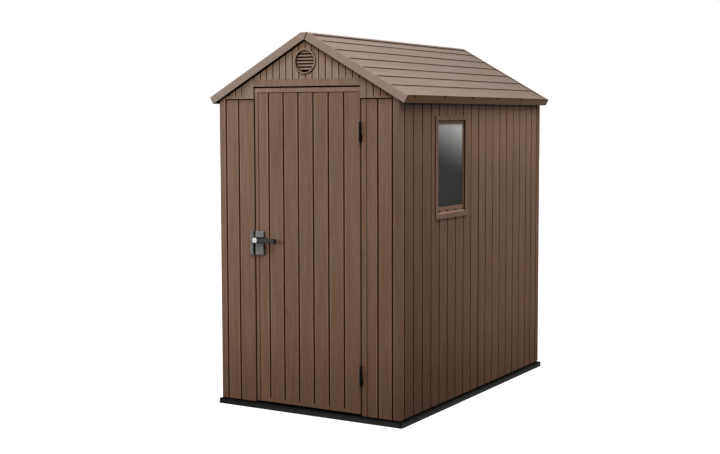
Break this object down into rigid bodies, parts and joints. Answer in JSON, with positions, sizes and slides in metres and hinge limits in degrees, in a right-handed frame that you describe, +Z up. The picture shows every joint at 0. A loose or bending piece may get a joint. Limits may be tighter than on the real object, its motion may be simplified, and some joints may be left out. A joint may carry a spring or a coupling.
{
  "type": "garden storage shed",
  "caption": "Moulded garden shed with a gable roof, a hinged front door with a lever handle, a side window and gable vents.",
  "frame": {"origin": "centre of the flat underside of the floor base, midway between the side walls and between the front and rear walls", "axes": "+Z up, -Y out of the front with the door, +X to the right as seen from the front"},
  "size_m": [1.25, 1.863, 2.0497],
  "materials": {
    "wall_resin": "matt brown moulded resin with a fine upright wood grain",
    "roof_resin": "matt lighter brown moulded resin with a fine grain",
    "floor_resin": "matt near-black moulded resin",
    "hinge_resin": "satin black moulded resin",
    "plate_resin": "satin mid-grey moulded resin",
    "lever_resin": "satin black moulded resin",
    "lock_metal": "bright plated metal",
    "window_pane": "frosted translucent sheet"
  },
  "bodies": {
    "shed": {"floor": "floor_resin", "corner_post_front_left": "wall_resin", "corner_post_front_right": "wall_resin", "corner_post_rear_left": "wall_resin", "corner_post_rear_right": "wall_resin", "front_wall_left": "wall_resin", "front_wall_right": "wall_resin", "front_gable": "wall_resin", "right_wall_front": "wall_resin", "right_wall_rear": "wall_resin", "left_wall_front": "wall_resin", "left_wall_rear": "wall_resin", "rear_wall_left": "wall_resin", "rear_wall_right": "wall_resin", "rear_gable": "wall_resin", "window_frame": "wall_resin", "front_vent_ring": "wall_resin", "front_vent_louvres": "wall_resin", "rear_vent_ring": "wall_resin", "rear_vent_louvres": "wall_resin", "window_glass": "window_pane", "roof_right": "roof_resin", "roof_left": "roof_resin", "ridge_cap": "roof_resin", "verge_trim_front_right": "roof_resin", "verge_trim_front_left": "roof_resin", "verge_trim_rear_right": "roof_resin", "verge_trim_rear_left": "roof_resin", "eave_fascia_right": "roof_resin", "eave_fascia_left": "roof_resin", "keeper_plate": "plate_resin", "hinge_upper_frame": "hinge_resin", "hinge_upper_pin": "hinge_resin", "hinge_lower_frame": "hinge_resin", "hinge_lower_pin": "hinge_resin"},
    "door": {"door_leaf": "wall_resin", "door_lock_plate": "plate_resin", "hinge_upper_door": "hinge_resin", "hinge_lower_door": "hinge_resin"},
    "lever": {"door_lever": "lever_resin", "door_lock": "lock_metal"}
  },
  "joints": [
    {"name": "door_hinge", "type": "hinge", "parent": "shed", "child": "door", "pos_m": [0.3405, -0.9155, 0.9], "axis": [0, 0, 1], "range_deg": [0, 105]},
    {"name": "lever_turn", "type": "hinge", "parent": "door", "child": "lever", "pos_m": [-0.318, -0.93, 0.934], "axis": [0, 1, 0], "range_deg": [0, 45], "stiffness_Nm_per_rad": 0.5, "springref_deg": -17.19}
  ]
}
